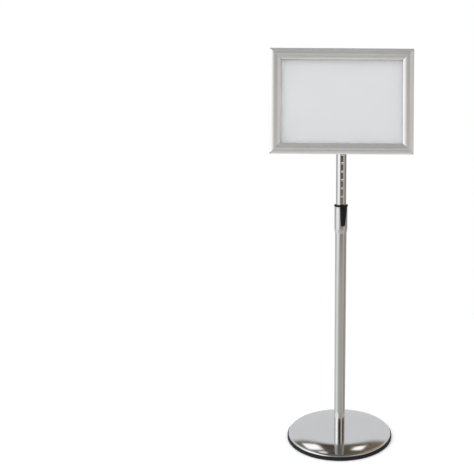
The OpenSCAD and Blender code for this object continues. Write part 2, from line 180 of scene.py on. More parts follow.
class Shader:
    """A Principled material with short calls for the nodes that the finishes share."""

    def __init__(self, name, color, rough, metallic=0.0, specular=0.5):
        self.material = bpy.data.materials.new(name)
        self.material.use_nodes = True
        self.tree = self.material.node_tree
        self.bsdf = self.tree.nodes["Principled BSDF"]
        self.bsdf.inputs["Base Color"].default_value = (*color, 1)
        self.bsdf.inputs["Roughness"].default_value = rough
        self.bsdf.inputs["Metallic"].default_value = metallic
        self.bsdf.inputs["Specular IOR Level"].default_value = specular
        self.coords = self.tree.nodes.new("ShaderNodeTexCoord")

    def link(self, a, b):
        self.tree.links.new(a, b)

    def place(self, scale=(1, 1, 1)):
        node = self.tree.nodes.new("ShaderNodeMapping")
        node.inputs["Scale"].default_value = scale
        self.link(self.coords.outputs["Object"], node.inputs["Vector"])
        return node.outputs["Vector"]

    def noise(self, scale, detail=3.0, rough=0.5, stretch=(1, 1, 1), distortion=0.0):
        node = self.tree.nodes.new("ShaderNodeTexNoise")
        node.inputs["Scale"].default_value = scale
        node.inputs["Detail"].default_value = detail
        node.inputs["Roughness"].default_value = rough
        node.inputs["Distortion"].default_value = distortion
        self.link(self.place(stretch), node.inputs["Vector"])
        return node.outputs["Fac"]

    def cells(self, scale, feature="F1"):
        node = self.tree.nodes.new("ShaderNodeTexVoronoi")
        node.feature = feature
        node.inputs["Scale"].default_value = scale
        self.link(self.place(), node.inputs["Vector"])
        return node.outputs["Distance"]

    def ranged(self, value, low, high, to_low, to_high):
        node = self.tree.nodes.new("ShaderNodeMapRange")
        node.inputs["From Min"].default_value = low
        node.inputs["From Max"].default_value = high
        node.inputs["To Min"].default_value = to_low
        node.inputs["To Max"].default_value = to_high
        self.link(value, node.inputs["Value"])
        return node.outputs["Result"]

    def math(self, operation, a, b):
        node = self.tree.nodes.new("ShaderNodeMath")
        node.operation = operation
        for socket, value in zip(node.inputs, (a, b)):
            if isinstance(value, (int, float)):
                socket.default_value = value
            else:
                self.link(value, socket)
        return node.outputs["Value"]

    def mix(self, factor, low, high):
        node = self.tree.nodes.new("ShaderNodeMix")
        node.data_type = "RGBA"
        self.link(factor, node.inputs["Factor"])
        for socket, value in ((node.inputs[6], low), (node.inputs[7], high)):
            if isinstance(value, tuple):
                socket.default_value = (*value, 1)
            else:
                self.link(value, socket)
        return node.outputs[2]

    def edges(self):
        """1 on outer edges, where paint and plastic wear."""
        geometry = self.tree.nodes.new("ShaderNodeNewGeometry")
        return self.ranged(geometry.outputs["Pointiness"], 0.52, 0.6, 0, 1)

    def color(self, value):
        self.link(value, self.bsdf.inputs["Base Color"])

    def rough(self, value):
        self.link(value, self.bsdf.inputs["Roughness"])

    def bump(self, height, strength, distance):
        node = self.tree.nodes.new("ShaderNodeBump")
        node.inputs["Strength"].default_value = strength
        node.inputs["Distance"].default_value = distance
        self.link(height, node.inputs["Height"])
        self.link(node.outputs["Normal"], self.bsdf.inputs["Normal"])


def chrome_finish(name, color, low, high, grain):
    """Plated metal: faint smears in the roughness and a fine grain across or along the part."""
    s = Shader(name, color, low, metallic=1)
    smear = s.noise(38, 4, 0.6, distortion=0.6)
    fine = s.noise(900, 2, 0.5, stretch=grain)
    s.rough(s.math("ADD", s.ranged(smear, 0.35, 0.7, low, high), s.ranged(fine, 0.3, 0.7, 0, 0.02)))
    s.color(s.mix(smear, tuple(c * 0.94 for c in color), color))
    s.bump(s.math("ADD", s.math("MULTIPLY", fine, 0.5), smear), 0.04, 0.0002)
    return s.material


def anodised_finish(name, along):
    """Satin anodised aluminium with drawing lines along the rail."""
    s = Shader(name, (0.80, 0.80, 0.795), 0.3, metallic=0.72)
    stretch = tuple(0.012 if axis == along else 1.0 for axis in "XYZ")
    lines = s.noise(2600, 3, 0.6, stretch=stretch)
    etch = s.noise(5200, 2, 0.5)
    cloud = s.noise(9, 3, 0.5)
    s.rough(s.math("ADD", s.ranged(lines, 0.3, 0.7, 0.25, 0.34), s.ranged(etch, 0.3, 0.7, -0.02, 0.03)))
    s.color(s.mix(s.ranged(cloud, 0.3, 0.7, 0, 1), (0.77, 0.77, 0.76), (0.82, 0.82, 0.82)))
    s.bump(s.math("ADD", lines, s.math("MULTIPLY", etch, 0.6)), 0.12, 0.00006)
    return s.material


def plastic_finish(name, color, rough, worn):
    """Spark-textured moulded plastic, a little paler and smoother where it is handled."""
    s = Shader(name, color, rough, specular=0.28)
    pits = s.noise(3400, 2, 0.6)
    cloud = s.noise(60, 3, 0.5)
    edge = s.math("MULTIPLY", s.edges(), s.ranged(s.noise(180, 3, 0.6), 0.4, 0.65, 0.2, 0.9))
    s.color(s.mix(edge, color, worn))
    mottled = s.ranged(cloud, 0.3, 0.7, rough - 0.06, rough + 0.06)
    s.rough(s.math("ADD", mottled, s.math("MULTIPLY", edge, -0.08)))
    s.bump(pits, 0.25, 0.00008)
    return s.material


def rubber_finish():
    """Black moulded rubber with a trace of floor dust low down."""
    s = Shader("rubber", (0.008, 0.008, 0.009), 0.6, specular=0.35)
    height = s.tree.nodes.new("ShaderNodeSeparateXYZ")
    s.link(s.coords.outputs["Object"], height.inputs["Vector"])
    low = s.ranged(height.outputs["Z"], 0.0, 0.004, 0.5, 0)
    dust = s.math("MULTIPLY", low, s.ranged(s.noise(240, 4, 0.6), 0.45, 0.75, 0, 1))
    s.color(s.mix(dust, (0.007, 0.007, 0.008), (0.07, 0.066, 0.062)))
    s.rough(s.ranged(s.noise(90, 3, 0.5), 0.3, 0.7, 0.52, 0.72))
    s.bump(s.noise(1900, 2, 0.5), 0.3, 0.0001)
    return s.material


def paper_finish():
    """Blank uncoated sheet with faint fibres."""
    s = Shader("paper", (0.63, 0.625, 0.63), 0.7, specular=0.25)
    fibre = s.noise(1400, 4, 0.65, stretch=(1, 1, 0.35), distortion=0.8)
    cloud = s.noise(14, 3, 0.5)
    tone = s.math("ADD", s.math("MULTIPLY", fibre, 0.35), s.math("MULTIPLY", cloud, 0.65))
    s.color(s.mix(s.ranged(tone, 0.35, 0.65, 0, 1), (0.615, 0.61, 0.612), (0.645, 0.64, 0.643)))
    s.rough(s.ranged(fibre, 0.3, 0.7, 0.62, 0.78))
    s.bump(fibre, 0.15, 0.00005)
    return s.material


def clear_finish():
    """Anti-glare plastic film: nearly clear, with a soft etched gloss."""
    s = Shader("clear", (0.9, 0.92, 0.94), 0.2, specular=0.5)
    s.bsdf.inputs["Alpha"].default_value = 0.12
    s.rough(s.ranged(s.noise(700, 3, 0.5), 0.3, 0.7, 0.16, 0.28))
    s.bump(s.noise(2400, 2, 0.5), 0.1, 0.00004)
    return s.material


def steel_finish():
    """Zinc-plated steel: cloudy passivation and fine scratches."""
    s = Shader("zinc", (0.6, 0.6, 0.6), 0.3, metallic=1)
    cloud = s.noise(160, 4, 0.6)
    scratch = s.noise(2200, 2, 0.5, stretch=(1, 0.1, 1))
    s.color(s.mix(s.ranged(cloud, 0.35, 0.65, 0, 1), (0.50, 0.49, 0.46), (0.66, 0.66, 0.67)))
    s.rough(s.ranged(scratch, 0.3, 0.7, 0.24, 0.42))
    s.bump(scratch, 0.1, 0.00005)
    return s.material


def iron_finish():
    """Rough casting under black paint."""
    s = Shader("iron", (0.05, 0.05, 0.05), 0.6, metallic=0.2)
    lumps = s.noise(260, 4, 0.6)
    s.color(s.mix(s.ranged(lumps, 0.35, 0.7, 0, 1), (0.03, 0.03, 0.03), (0.08, 0.075, 0.07)))
    s.rough(s.ranged(lumps, 0.3, 0.7, 0.5, 0.75))
    s.bump(lumps, 0.5, 0.0004)
    return s.material


def felt_finish():
    """Pressed black felt: tangled short fibres."""
    s = Shader("felt", (0.03, 0.03, 0.03), 0.95, specular=0.1)
    fibre = s.noise(900, 5, 0.7, distortion=2.0)
    s.color(s.mix(s.ranged(fibre, 0.35, 0.7, 0, 1), (0.02, 0.02, 0.02), (0.075, 0.075, 0.07)))
    s.rough(s.ranged(fibre, 0.3, 0.7, 0.85, 1.0))
    s.bump(fibre, 0.6, 0.0004)
    return s.material


def nylon_finish():
    """Natural nylon, slightly mottled."""
    s = Shader("nylon", (0.72, 0.71, 0.66), 0.42)
    cloud = s.noise(220, 3, 0.5)
    s.color(s.mix(cloud, (0.68, 0.67, 0.61), (0.77, 0.76, 0.71)))
    s.rough(s.ranged(cloud, 0.3, 0.7, 0.36, 0.5))
    s.bump(s.noise(1500, 2, 0.5), 0.1, 0.00005)
    return s.material


def coat_finish():
    """Black powder coat: fine orange peel."""
    s = Shader("black_steel", (0.022, 0.022, 0.024), 0.45)
    peel = s.cells(1100, "SMOOTH_F1")
    s.color(s.mix(s.edges(), (0.02, 0.02, 0.022), (0.06, 0.06, 0.06)))
    s.rough(s.ranged(s.noise(120, 3, 0.5), 0.3, 0.7, 0.38, 0.52))
    s.bump(peel, 0.25, 0.0001)
    return s.material


def panel_finish():
    """Pale extruded plastic sheet with a faint leather grain."""
    s = Shader("panel", (0.62, 0.62, 0.62), 0.55)
    grain = s.cells(700)
    cloud = s.noise(12, 3, 0.5)
    s.color(s.mix(s.ranged(cloud, 0.3, 0.7, 0, 1), (0.60, 0.60, 0.60), (0.65, 0.65, 0.655)))
    s.rough(s.ranged(s.noise(300, 3, 0.5), 0.3, 0.7, 0.48, 0.62))
    s.bump(grain, 0.2, 0.0001)
    return s.material


MATERIALS = {
    "rubber": rubber_finish(),
    "chrome": chrome_finish("chrome", (0.80, 0.80, 0.80), 0.035, 0.10, (1, 1, 1)),
    "polished_tube": chrome_finish("polished_tube", (0.80, 0.79, 0.78), 0.045, 0.11, (1, 1, 0.08)),
    "satin_tube": chrome_finish("satin_tube", (0.76, 0.76, 0.75), 0.07, 0.13, (0.15, 0.15, 1)),
    "satin_collar": chrome_finish("satin_collar", (0.80, 0.80, 0.79), 0.16, 0.22, (1, 1, 0.15)),
    "iron": iron_finish(),
    "felt": felt_finish(),
    "zinc": steel_finish(),
    "bolt_chrome": chrome_finish("bolt_chrome", (0.78, 0.78, 0.79), 0.08, 0.18, (1, 1, 1)),
    "black_plastic": plastic_finish("black_plastic", (0.005, 0.005, 0.006), 0.36, (0.035, 0.035, 0.04)),
    "nylon": nylon_finish(),
    "black_steel": coat_finish(),
    "panel": panel_finish(),
    "anodised": anodised_finish("anodised", "X"),
    "paper": paper_finish(),
    "clear": clear_finish(),
}
ANODISED_UPRIGHT = anodised_finish("anodised_upright", "Z")


# ---------------------------------------------------------------- base

def make_rim():
    """Rubber edge with a rounded outside, a lip against the cover and a recessed foot line."""
    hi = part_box("rubber_rim")[1]
    cover_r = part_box("base_cover")[1].x
    r, h = hi.x, hi.z
    inner = cover_r - 7.8 * MM
    outline = fillet([
        (inner, 0, 0.4 * MM), (r - 0.9 * MM, 0, 0.7 * MM), (r, 1.6 * MM, 1.0 * MM), (r, h, 2.2 * MM),
        (cover_r + 0.1 * MM, h, 0.4 * MM), (cover_r + 0.1 * MM, h - 2.6 * MM, 0.1 * MM),
        (cover_r - 1.3 * MM, h - 2.6 * MM, 0.1 * MM), (inner, h - 2.6 * MM, 0.4 * MM),
    ])
    add_mesh("rubber_edge", lathe(outline, 220), "base", "rubber", "rubber_rim", sharp=50)


def make_cover():
    """Pressed cover: a flat top, a slight dome, a rounded edge and a small eased hole at the mast."""
    lo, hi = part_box("base_cover")
    r, top, low = hi.x, hi.z, lo.z
    flat_r, wall, edge, end = 66 * MM, 1.2 * MM, 5 * MM, 10
    dome = edge + (r - edge - flat_r) / math.sin(math.radians(end))
    edge_z = top - dome + (dome - edge) * math.cos(math.radians(end))
    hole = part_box("lower_tube")[1].x + 0.05 * MM
    outline = arc(hole + 0.25 * MM, top - 0.25 * MM, 0.25 * MM, 180, 90, 5)
    outline += [Vector((hole + step * (flat_r - hole), top)) for step in (0.25, 0.5, 0.75)]
    outline += arc(flat_r, top - dome, dome, 90, 90 - end, 40)
    outline += arc(r - edge, edge_z, edge, 90 - end, 0, 18)[1:]
    outline += [Vector((r, low)), Vector((r - wall, low))]
    outline += arc(r - edge, edge_z, edge - wall, 0, 90 - end, 10)
    outline += arc(flat_r, top - dome, dome - wall, 90 - end, 90, 20)[1:]
    outline += [Vector((hole, top - wall))]
    add_mesh("chrome_cover", lathe(outline, 256), "base", "chrome", "base_cover", sharp=40)


# ---------------------------------------------------------------- mast

def tube_outline(r, wall, z0, z1):
    ease = 0.4 * MM
    return fillet([(r - wall, z0, ease / 2), (r, z0, ease), (r, z1, ease), (r - wall, z1, ease / 2)], 4)


def make_lower_tube():
    lo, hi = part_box("lower_tube")
    add_mesh("lower_mast_tube", lathe(tube_outline(hi.x, 1.2 * MM, lo.z, hi.z), 96), "base", "satin_tube",
             "lower_tube")


def make_collar():
    """Sleeve with a swaged lower end and a fine turned line under the bush."""
    lo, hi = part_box("collar")
    r, inner = hi.x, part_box("lower_tube")[1].x + 0.05 * MM
    outline = fillet([
        (inner, lo.z, 0.1 * MM), (inner + 0.5 * MM, lo.z, 0.3 * MM), (r, lo.z + 10 * MM, 6 * MM),
        (r, hi.z - 3.2 * MM, 0.2 * MM), (r - 0.25 * MM, hi.z - 2.9 * MM, 0.1 * MM),
        (r - 0.25 * MM, hi.z - 2.6 * MM, 0.1 * MM), (r, hi.z - 2.3 * MM, 0.2 * MM),
        (r, hi.z, 0.9 * MM), (inner, hi.z, 0.2 * MM),
    ], 8)
    add_mesh("mast_collar", lathe(outline, 96), "base", "satin_tube", "collar", finish="satin_collar")


def make_bush():
    """Flanged bush; only its rounded flange shows, on top of the collar."""
    lo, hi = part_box("guide_bush")
    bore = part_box("upper_tube")[1].x + 0.05 * MM
    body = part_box("lower_tube")[1].x
    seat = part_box("collar")[1].z
    outline = fillet([
        (bore, lo.z, 0.2 * MM), (body, lo.z, 0.2 * MM), (body, seat, 0), (hi.x, seat, 1.6 * MM),
        (hi.x, hi.z, 2.6 * MM), (bore, hi.z, 0.5 * MM),
    ], 8)
    add_mesh("mast_bush", lathe(outline, 96), "base", "black_plastic", "guide_bush")


def make_upper_tube():
    """Polished tube with a row of milled notches on the lever's side, and a bore."""
    lo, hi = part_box("upper_tube")
    r, bore, ease = hi.x, hi.x - 1.5 * MM, 0.4 * MM
    pitch, depth, cutter = 20 * MM, 0.9 * MM, 4 * MM
    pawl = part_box("lock_pawl")
    pawl_z = (pawl[0].z + pawl[1].z) / 2
    slide = JOINT["mast_slide"]["range_m"]
    first, count = pawl_z + slide[0], round((slide[1] - slide[0]) / pitch) + 1
    axis = r - depth + cutter
    half = math.sqrt(cutter ** 2 - (axis - r) ** 2)
    levels = [(lo.z, r - ease), (lo.z + ease, r)]
    for i in range(count):
        z = first + i * pitch
        for k in range(13):
            levels.append((z - half + 2 * half * k / 12, r))
    levels += [(hi.z - ease, r), (hi.z, r - ease)]
    sector, fine, coarse = 26.0, 36, 84
    angles = [-sector + 2 * sector * k / fine for k in range(fine)]
    angles += [sector + (360 - 2 * sector) * k / coarse for k in range(coarse)]
    bm = bmesh.new()
    rows = []
    for z, level_r in levels:
        nearest = first + max(0, min(count - 1, round((z - first) / pitch))) * pitch
        dz = abs(z - nearest)
        floor_at = axis - math.sqrt(max(cutter ** 2 - dz * dz, 0)) if dz < cutter else 1
        row = []
        for a in angles:
            t = math.radians(a)
            here = min(level_r, floor_at / math.cos(t)) if abs(a) <= sector else level_r
            row.append(bm.verts.new((here * math.sin(t), -here * math.cos(t), z)))
        rows.append(row)
    inner = [[bm.verts.new((bore * math.sin(math.radians(a)), -bore * math.cos(math.radians(a)), z))
              for a in angles] for z in (hi.z, lo.z)]
    loop = rows + inner
    for one, two in zip(loop, loop[1:] + loop[:1]):
        for i in range(len(angles)):
            j = (i + 1) % len(angles)
            bm.faces.new((one[i], one[j], two[j], two[i]))
    add_mesh("upper_mast_tube", bm, "mast", "polished_tube", "upper_tube", sharp=28, matrix=LOCK)


def make_plug():
    """Black end plug: a flange on the tube's end and a rounded knuckle for the hinge bolt."""
    tube_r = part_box("upper_tube")[1].x
    tube_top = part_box("upper_tube")[1].z
    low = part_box("top_plug")[0].z
    flange_top = PIVOT.z - 17 * MM
    outline = fillet([
        (0, low, 0), (tube_r - 1.6 * MM, low, 0.8 * MM), (tube_r - 1.6 * MM, tube_top, 0),
        (tube_r, tube_top, 0.3 * MM), (tube_r, flange_top, 1.4 * MM), (0, flange_top, 0),
    ])
    bm = lathe(outline, 96)
    knuckle_r, neck = 14.5 * MM, 15.7 / 2 * MM
    turn = math.degrees(math.asin(neck / knuckle_r))
    side = arc(0, 0, knuckle_r, -90 + turn, 270 - turn, 56)
    foot = flange_top - PIVOT.z - 0.5 * MM
    side = fillet([(neck, foot, 0)] + [(p.x, p.y, 0) for p in side] + [(-neck, foot, 0)])
    knuckle = plate([side, circle(3.08 * MM, 40)], -5.5 * MM, 5.5 * MM, 0.7 * MM)
    merge(bm, knuckle, Matrix.Translation(PIVOT) @ Matrix.Rotation(math.pi / 2, 4, "Z"))
    add_mesh("mast_plug", bm, "mast", "black_plastic", "top_plug")


# ---------------------------------------------------------------- lock lever

def lever_depths(z, top, bottom):
    """Distances of the lever's back and front from the mast's axis at a height."""
    thumb, tip = (top - 9.8 * MM, 25.9 * MM), (bottom + 4.1 * MM, 22.2 * MM)
    f = min(max((z - tip[0]) / (thumb[0] - tip[0]), 0), 1)
    front = tip[1] + (thumb[1] - tip[1]) * f
    back = 17.0 * MM + 3.6 * MM * max(0, (z - thumb[0] + 18 * MM) / (27 * MM)) ** 1.4
    if z > thumb[0]:
        rise = (z - thumb[0]) / (top - thumb[0])
        front -= 0.6 * MM * rise + 2.6 * MM * (1 - math.sqrt(max(1 - max(0, (rise - 0.55) / 0.45) ** 2, 0)))
    if z < tip[0]:
        fall = (tip[0] - z) / (tip[0] - bottom)
        front -= 3.4 * MM * (1 - math.sqrt(max(1 - fall * fall, 0)))
    return back, max(front, back + 0.6 * MM)


def make_lever():
    """Moulded lever: a tapering channel, thick at the thumb end, with rounded ends and edges."""
    lo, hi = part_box("lock_lever")
    top, bottom = hi.z, lo.z
    wide, narrow, stations, across = 17.5 * MM, 10 * MM, 56, 8
    bm = bmesh.new()
    rows = []
    for i in range(stations + 1):
        z = bottom + (top - bottom) * (0.5 - 0.5 * math.cos(math.pi * i / stations))
        back, front = lever_depths(z, top, bottom)
        half = (narrow + (wide - narrow) * (z - bottom) / (top - bottom)) / 2
        for end, radius, share in ((z - bottom, 3.6 * MM, 0.75), (top - z, 2.6 * MM, 0.5)):
            if end < radius:
                half -= share * (radius - math.sqrt(max(radius ** 2 - (radius - end) ** 2, 0)))
        ease = min(2.4 * MM, half - 0.2 * MM, front - back - 0.1 * MM)
        crown = min(0.35 * MM, (front - back) / 4)
        angles = [math.pi / 2 * k / across for k in range(across + 1)]
        left = [Vector((-half, back)), Vector((-half, (back + front - ease) / 2))]
        shoulder = front - crown - ease
        left += [Vector((-half + ease * (1 - math.cos(a)), shoulder + ease * math.sin(a))) for a in angles]
        row = left + [Vector((0, front))] + [Vector((-p.x, p.y)) for p in reversed(left)]
        rows.append([bm.verts.new((p.x, -p.y, z)) for p in row])
    for one, two in zip(rows, rows[1:]):
        for i in range(len(one) - 1):
            bm.faces.new((one[i], one[i + 1], two[i + 1], two[i]))
    for row in (rows[0], rows[-1]):
        bm.faces.new(row)
    lever = add_mesh("release_lever", bm, "lever", "black_plastic", "lock_lever", matrix=LOCK, sharp=60)
    wall = lever.modifiers.new("wall", "SOLIDIFY")
    wall.thickness = 1.2 * MM
    wall.offset = -1
    lever.modifiers.move(1, 0)


# ---------------------------------------------------------------- head

def make_bracket():
    """Clevis of the tilt hinge: two dished cheeks with raised rims, joined by a web in front."""
    lobe, end, half, near, far = 16 * MM, 27 * MM, 10.3 * MM, 6.35 * MM, 11.3 * MM
    web, bore = 19 * MM, 3.05 * MM
    flare = arc(20 * MM, -26.7 * MM, 15 * MM, 104, 74, 10)
    side = arc(0, 0, lobe, 90, 270, 48)
    side += [Vector((4.6 * MM, -14.9 * MM)), Vector((10.5 * MM, -12.9 * MM))] + flare
    side += [Vector((end, -half)), Vector((end, half))]
    bm = bmesh.new()
    lay = Matrix.Rotation(-math.pi / 2, 4, "Z")
    for x0, x1, outward in ((near, far, 1), (-far, -near, -1)):
        body = (x0 + 1 * MM, x1) if outward < 0 else (x0, x1 - 1 * MM)
        merge(bm, plate([side, circle(bore, 40)], *body, 0.35 * MM), lay)
        rim = (x1 - 1.4 * MM, x1) if outward > 0 else (x0, x0 + 1.4 * MM)
        merge(bm, plate([circle(lobe, 96), circle(11.5 * MM, 72)], *rim, 0.4 * MM), lay)
        fin = [Vector((12.2 * MM, half + 1.4 * MM)), Vector((12.2 * MM, -12.6 * MM))] + flare
        fin += [Vector((end, -half)), Vector((end, half))]
        merge(bm, plate([fin], *rim, 0.4 * MM), lay)
    block = plate([rounded_rect(2 * far, 2 * half, 1.2 * MM), circle(3.08 * MM, 40)], web, end, 0.5 * MM)
    merge(bm, block)
    add_mesh("tilt_clevis", bm, "head", "black_plastic", "tilt_bracket", matrix=HEAD)


def make_hinge_bolt():
    """Button-head bolt with a hexagon socket, and a domed cap nut on the other side."""
    seat = 10.3 * MM
    head = fillet([
        (2.3 * MM, seat + 1.6 * MM, 0), (3.0 * MM, seat + 3.2 * MM, 0.3 * MM),
        (4.2 * MM, seat + 3.1 * MM, 1.0 * MM), (5.5 * MM, seat + 1.2 * MM, 0.5 * MM),
        (5.5 * MM, seat, 0.2 * MM), (3.0 * MM, seat, 0), (3.0 * MM, -14 * MM, 0.4 * MM),
        (0, -14 * MM, 0), (0, seat + 1.6 * MM, 0),
    ])
    turned = Matrix.Rotation(math.pi / 2, 4, "Y")
    add_mesh("hinge_bolt_head", lathe(head, 72), "head", "bolt_chrome", "hinge_bolt", matrix=HEAD @ turned)
    bm = plate([circle(5.7 * MM, 6), circle(3.02 * MM, 40)], seat, seat + 3.2 * MM, 0.3 * MM)
    bm.transform(Matrix.Rotation(math.pi / 2, 4, "X"))
    dome_z = seat + 3.1 * MM
    dome = [Vector((3.02 * MM, dome_z))] + arc(0, dome_z, 4.6 * MM, 0, 90, 12)
    dome += [Vector((0, dome_z + 1.4 * MM)), Vector((2.9 * MM, dome_z + 1.2 * MM))]
    merge(bm, lathe(dome, 60))
    add_mesh("hinge_cap_nut", bm, "head", "bolt_chrome", "hinge_nut",
             matrix=HEAD @ Matrix.Rotation(-math.pi / 2, 4, "Y"))


def screw_places():
    """Centres of the four hub screws in the head's XZ plane."""
    return [Vector((19.5 * MM * math.cos(a), 19.5 * MM * math.sin(a)))
            for a in (math.radians(45 + 90 * k) for k in range(4))]


def make_hub():
    """Round turning plate, its four cross-head screws and the steel plate behind it."""
    back, face = 27.9 * MM, 32.7 * MM
    holes = [circle(1.55 * MM, 24, p.x, p.y) for p in screw_places()]
    disc = plate([circle(25 * MM, 120), circle(3.02 * MM, 40)] + holes, back, face, 0.8 * MM)
    add_mesh("turning_hub", disc, "sign", "black_plastic", "hub_plate", matrix=HEAD)
    spread = plate([rounded_rect(90 * MM, 70 * MM, 5 * MM)] + holes, face, face + 1.5 * MM, 0.25 * MM)
    add_mesh("load_plate", spread, "sign", "black_steel", "mount_plate", matrix=HEAD)
    bm = bmesh.new()
    for p in screw_places():
        pan = fillet([
            (0, 1.0 * MM, 0), (0.9 * MM, 1.0 * MM, 0), (1.5 * MM, 1.9 * MM, 0.2 * MM),
            (2.8 * MM, 1.5 * MM, 0.8 * MM), (2.8 * MM, 0, 0.2 * MM), (1.5 * MM, 0, 0),
            (1.5 * MM, -7.3 * MM, 0.4 * MM), (0, -7.3 * MM, 0),
        ])
        seat = Matrix.Translation((p.x, -back, p.y))
        merge(bm, lathe(pan, 32), seat @ Matrix.Rotation(-math.pi / 2, 4, "X"))
    add_mesh("hub_screws", bm, "sign", "zinc", "hub_fixings", matrix=HEAD)


# ---------------------------------------------------------------- frame rails

FRAME_BACK = 33 * MM
# Sections are in mm: x inwards from the rail's outer edge, y forwards from the frame's back
HINGE = Vector((2.2, 8.5))
ARCH = (12.5, 14 - 23.5, 23.5)    # centre and radius of the arched front
CORNER = 3.2                      # rails end square this far in, and are mitred from there on
HINGE_END = 7.0                   # the hinge stops this far short of the corner
INNER_CUT = 1.0                   # extra gap between two rails at their low inner edges
FIXED_GAP, SNAP_GAP = 0.1, 0.16


def frame_size(low_joint, high_joint):
    """Outer size in mm between two opposite rails, from the hinges of their snap rails."""
    low, high = Vector(JOINT[low_joint]["pos_m"]), Vector(JOINT[high_joint]["pos_m"])
    return (high - low).length / MM + 2 * HINGE.x


def arch_height(s, inset=0.0):
    """Height of the arched front over the back plane, in mm, at a distance from the outer edge."""
    return ARCH[1] + math.sqrt((ARCH[2] - inset) ** 2 - (s - ARCH[0]) ** 2)


def snap_outline():
    """Section of a snap rail: hinge hook, arched skin, inner lip with its foot, and the spring's rib."""
    ray = Vector((math.cos(math.radians(150)), math.sin(math.radians(150))))
    reach = (HINGE.x - 0.2) / -ray.x
    outline = arc(*HINGE, 1.3, -65, 150, 24)
    outline += [HINGE + ray * reach]
    outline += fillet([(0.2, 9.65, 0), (0.2, arch_height(0.2), 0.7), (1.9, arch_height(1.9), 0)])[1:-1]
    outline += [Vector((s, arch_height(s))) for s in (2.2 + 21.2 * k / 32 for k in range(33))]
    outline += fillet([(23.4, arch_height(23.4), 0), (25, arch_height(25), 1.0), (25, 6, 0)])[1:-1]
    outline += fillet([(25, 8, 0), (25, 3.6, 0.35), (22, 3.6, 0.2), (22, 4.9, 0.2), (23.2, 4.9, 0)], 3)
    outline += [Vector((23.2, arch_height(23.2, 1.3)))]
    outline += [Vector((s, arch_height(s, 1.3))) for s in (22 - 7.4 * k / 8 for k in range(9))]
    outline += [Vector((14.6, 10.6)), Vector((13.4, 10.6))]
    outline += [Vector((s, arch_height(s, 1.3))) for s in (13.4 - 9.6 * k / 12 for k in range(13))]
    outline += arc(*HINGE, 2.2, 40, -65, 12)
    return outline


def fixed_outline():
    """Section of a fixed rail: back flange, outer wall, hinge bead and the rib for the springs."""
    outline = fillet([(0.2, 0, 0.7), (25, 0, 0.3), (25, 1.2, 0.2), (9.5, 1.2, 0.2), (9.5, 5.2, 0.2),
                      (8.5, 5.2, 0.2), (8.5, 1.2, 0.2), (2.6, 1.2, 0.2)], 3)
    outline += arc(*HINGE, 1.2, -70, 250, 24)
    outline += [Vector((1.8, 5.8))]
    outline += fillet([(1.8, 5.8, 0), (0.2, 5.8, 0.5), (0.2, 2, 0)], 4)[1:-1]
    return outline


def rail_end(p, half, gap):
    """How far a point of the section runs along the rail: mitred, square at its outer edge and hinge."""
    if p.x < 4.8 and abs((p - HINGE).length - 1.7) < 0.7 and p.y < 10.9:
        return half - HINGE_END
    if p.y < 7.9 and p.x > 20:
        gap += INNER_CUT
    return half - max(p.x, CORNER) - gap


def make_rail(name, outline, side, body, slot_name, node, gap):
    """Extrudes a section along one side of the frame, 0 bottom, 1 right, 2 top, 3 left."""
    size = frame_size("open_left", "open_right"), frame_size("open_bottom", "open_top")
    length, span = size if side % 2 == 0 else size[::-1]
    bm = bmesh.new()
    ends = []
    for sign in (-1, 1):
        ends.append([bm.verts.new((sign * rail_end(p, length / 2, gap), -p.y, p.x - span / 2))
                     for p in outline])
    count = len(outline)
    for i in range(count):
        j = (i + 1) % count
        bm.faces.new((ends[0][i], ends[1][i], ends[1][j], ends[0][j]))
    for ring in ends:
        cap = bm.faces.new(ring)
        bmesh.ops.triangulate(bm, faces=[cap])
    place = HEAD @ Matrix.Translation((0, -FRAME_BACK, 0)) @ Matrix.Rotation(-math.pi / 2 * side, 4, "Y")
    piece = add_mesh(name, bm, body, slot_name, node, matrix=place @ Matrix.Scale(MM, 4), sharp=30)
    if side % 2:
        piece.data.materials[0] = ANODISED_UPRIGHT
    return piece


def make_frame():
    """Four fixed rails on the sign and four snap rails, each on its own body."""
    for side, word in enumerate(("bottom", "right", "top", "left")):
        make_rail(f"fixed_rail_{word}", fixed_outline(), side, "sign", "anodised", f"rail_{word}", FIXED_GAP)
        make_rail(f"snap_rail_{word}", snap_outline(), side, f"cover_{word}", "anodised", f"snap_{word}",
                  SNAP_GAP)


# ---------------------------------------------------------------- CAD nodes that stay

KEPT = {
    "iron": ["base_weight"],
    "felt": ["underside_pad"],
    "zinc": ["base_bolt", "base_washer", "foot_plug", "lever_bracket", "lever_pin", "lever_spring",
             "lock_pawl", "hub_screw", "hub_spring_washer", "snap_springs"],
    "nylon": ["tube_glide", "tilt_washers", "hub_washer"],
    "panel": ["back_panel"],
    "anodised": ["corner_keys"],
    "paper": ["poster_sheet"],
    "clear": ["clear_cover"],
}


def dress_kept_nodes():
    """Gives the CAD nodes that are not redrawn their own finishes."""
    for slot_name, nodes in KEPT.items():
        for node in nodes:
            mesh = frame["nodes"][node].data
            mesh.materials.clear()
            mesh.materials.append(MATERIALS[slot_name])
            mesh.shade_smooth()
            mesh.set_sharp_from_angle(angle=math.radians(30))


# ---------------------------------------------------------------- floor, light and camera

